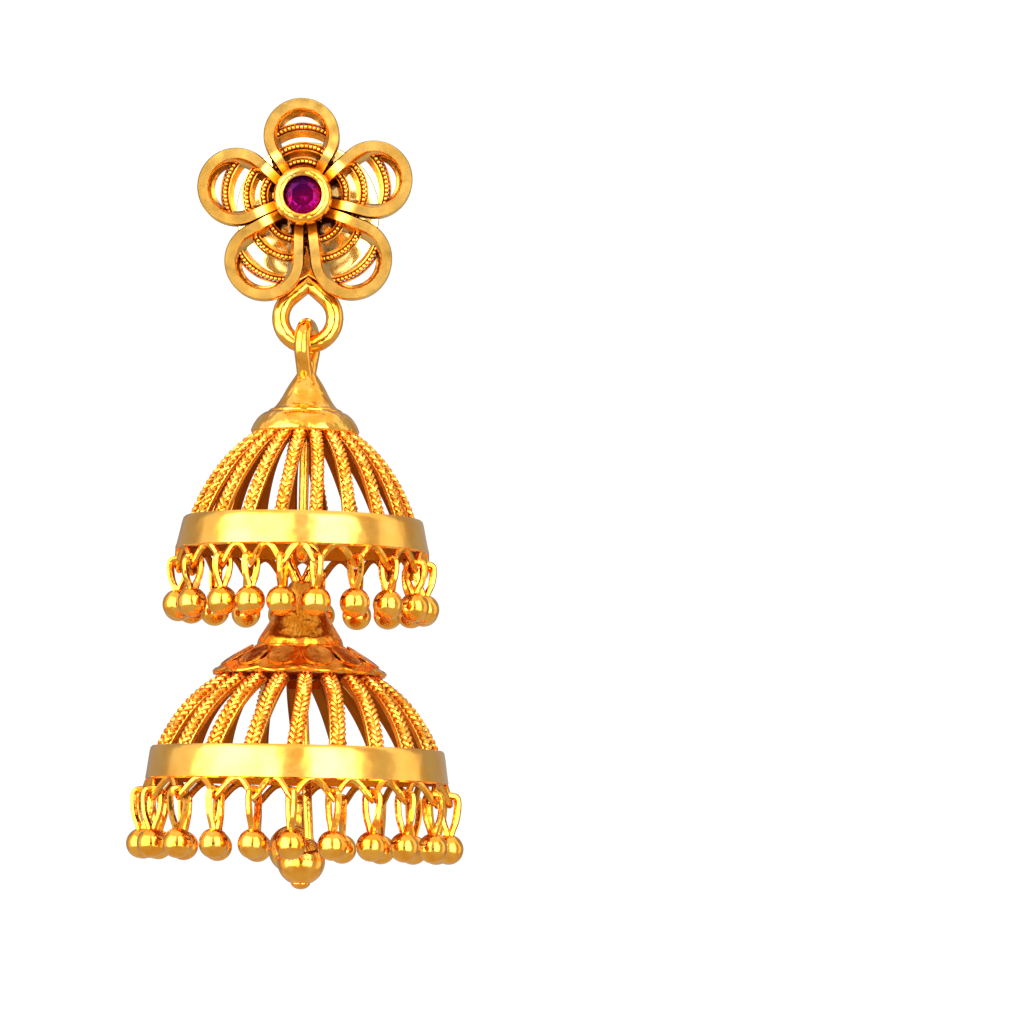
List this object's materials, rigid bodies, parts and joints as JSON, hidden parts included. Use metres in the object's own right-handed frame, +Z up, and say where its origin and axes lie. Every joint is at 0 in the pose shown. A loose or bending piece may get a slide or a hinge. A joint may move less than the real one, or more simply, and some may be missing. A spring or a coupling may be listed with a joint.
{
  "type": "jhumka earring",
  "caption": "Hanging jhumka earring: stone-set flower stud over two domed bells of braided gold wire, each with a plain band and a fringe of ball drops.",
  "frame": {"origin": "on the screw post, at the back of the flower, where the ear lobe bears on it", "axes": "+Z up, the flower faces -Y, +Y runs back along the post through the ear lobe"},
  "size_m": [0.0209, 0.0211, 0.0496],
  "materials": {
    "petal_gold": "satin 22 carat gold",
    "bell_gold": "braided 22 carat gold wire and satin sheet",
    "drop_gold": "polished 22 carat gold",
    "screw_gold": "polished pale gold",
    "ruby": "faceted purple-red stone"
  },
  "bodies": {
    "flower": {"flower": "petal_gold", "centre_stone": "ruby", "ear_screw": "screw_gold"},
    "upper_bell": {"upper_bell": "bell_gold", "upper_drop_01": "drop_gold", "upper_drop_02": "drop_gold", "upper_drop_03": "drop_gold", "upper_drop_04": "drop_gold", "upper_drop_05": "drop_gold", "upper_drop_06": "drop_gold", "upper_drop_07": "drop_gold", "upper_drop_08": "drop_gold", "upper_drop_09": "drop_gold", "upper_drop_10": "drop_gold", "upper_drop_11": "drop_gold", "upper_drop_12": "drop_gold", "upper_drop_13": "drop_gold", "upper_drop_14": "drop_gold", "upper_drop_15": "drop_gold", "upper_drop_16": "drop_gold", "upper_drop_17": "drop_gold", "upper_drop_18": "drop_gold", "upper_drop_19": "drop_gold", "upper_drop_20": "drop_gold"},
    "lower_bell": {"lower_bell": "bell_gold", "lower_drop_01": "drop_gold", "lower_drop_02": "drop_gold", "lower_drop_03": "drop_gold", "lower_drop_04": "drop_gold", "lower_drop_05": "drop_gold", "lower_drop_06": "drop_gold", "lower_drop_07": "drop_gold", "lower_drop_08": "drop_gold", "lower_drop_09": "drop_gold", "lower_drop_10": "drop_gold", "lower_drop_11": "drop_gold", "lower_drop_12": "drop_gold", "lower_drop_13": "drop_gold", "lower_drop_14": "drop_gold", "lower_drop_15": "drop_gold", "lower_drop_16": "drop_gold", "lower_drop_17": "drop_gold", "lower_drop_18": "drop_gold", "lower_drop_19": "drop_gold", "lower_drop_20": "drop_gold", "lower_drop_21": "drop_gold", "lower_drop_22": "drop_gold", "finial": "drop_gold"}
  },
  "joints": [
    {"name": "upper_swing", "type": "hinge", "parent": "flower", "child": "upper_bell", "pos_m": [0.00042, -0.00175, -0.00923], "axis": [1, 0, 0], "range_deg": [-60, 60]},
    {"name": "lower_swing", "type": "hinge", "parent": "upper_bell", "child": "lower_bell", "pos_m": [0.00042, -0.00175, -0.0226], "axis": [0, 1, 0], "range_deg": [-20, 20]}
  ]
}
